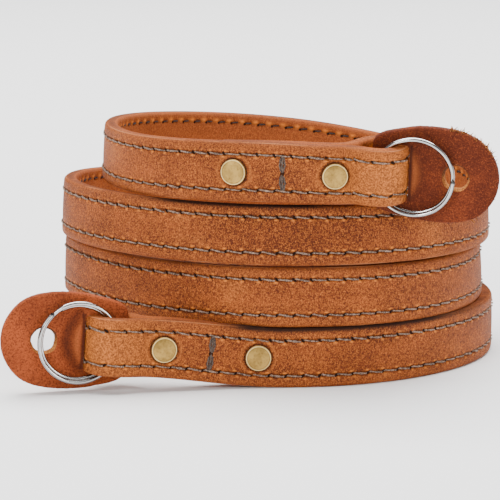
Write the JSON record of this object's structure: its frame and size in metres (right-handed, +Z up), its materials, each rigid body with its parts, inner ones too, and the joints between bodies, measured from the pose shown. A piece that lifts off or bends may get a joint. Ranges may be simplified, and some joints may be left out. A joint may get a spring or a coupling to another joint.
{
  "type": "camera neck strap",
  "caption": "Narrow stitched leather neck strap wound in a standing coil, each end folded round a split ring under cap rivets, with a leather lug guard behind each ring.",
  "frame": {"origin": "centre of the bounding box at its bottom, on the surface that the coil stands on", "axes": "+Z up, along the axis of the coil and across the strap; -Y towards the side with both ends, +X towards the upper end's ring"},
  "size_m": [0.1072, 0.1036, 0.0557],
  "materials": {
    "strap_leather": "smooth tan leather with burnished edges",
    "guard_leather": "fine-grained red-brown leather, matt",
    "ring_steel": "bright nickel plate",
    "rivet_brass": "antique brass, worn bright at the rim"
  },
  "bodies": {
    "root": {"strap": "strap_leather", "upper_ring": "ring_steel", "lower_ring": "ring_steel", "upper_guard": "guard_leather", "lower_guard": "guard_leather", "upper_rivet_outer": "rivet_brass", "upper_rivet_inner": "rivet_brass", "lower_rivet_outer": "rivet_brass", "lower_rivet_inner": "rivet_brass"}
  },
  "joints": []
}
